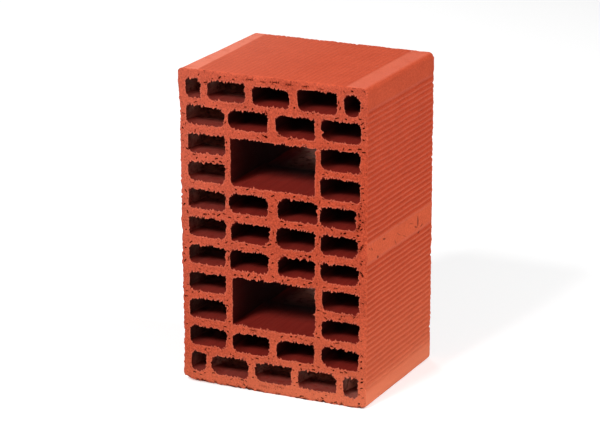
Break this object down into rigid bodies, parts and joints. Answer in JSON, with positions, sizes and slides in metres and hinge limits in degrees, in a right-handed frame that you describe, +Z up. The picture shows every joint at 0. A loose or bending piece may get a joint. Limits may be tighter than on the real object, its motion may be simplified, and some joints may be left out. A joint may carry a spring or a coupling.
{
  "type": "perforated clay brick",
  "caption": "Extruded red clay brick standing on its end, with rows of through cells, two-row hand holes, ribbed sides and finely combed ends.",
  "frame": {"origin": "middle of the lower end face, on the floor that the brick stands on", "axes": "+Z up along the brick's length, X across it from ribbed side to ribbed side, +Y along the cells from the front bed face to the back one"},
  "size_m": [0.18, 0.145, 0.29],
  "materials": {
    "fired_clay": "matt fired clay, rough where the wire cut it"
  },
  "bodies": {
    "root": {"brick": "fired_clay"}
  },
  "joints": []
}
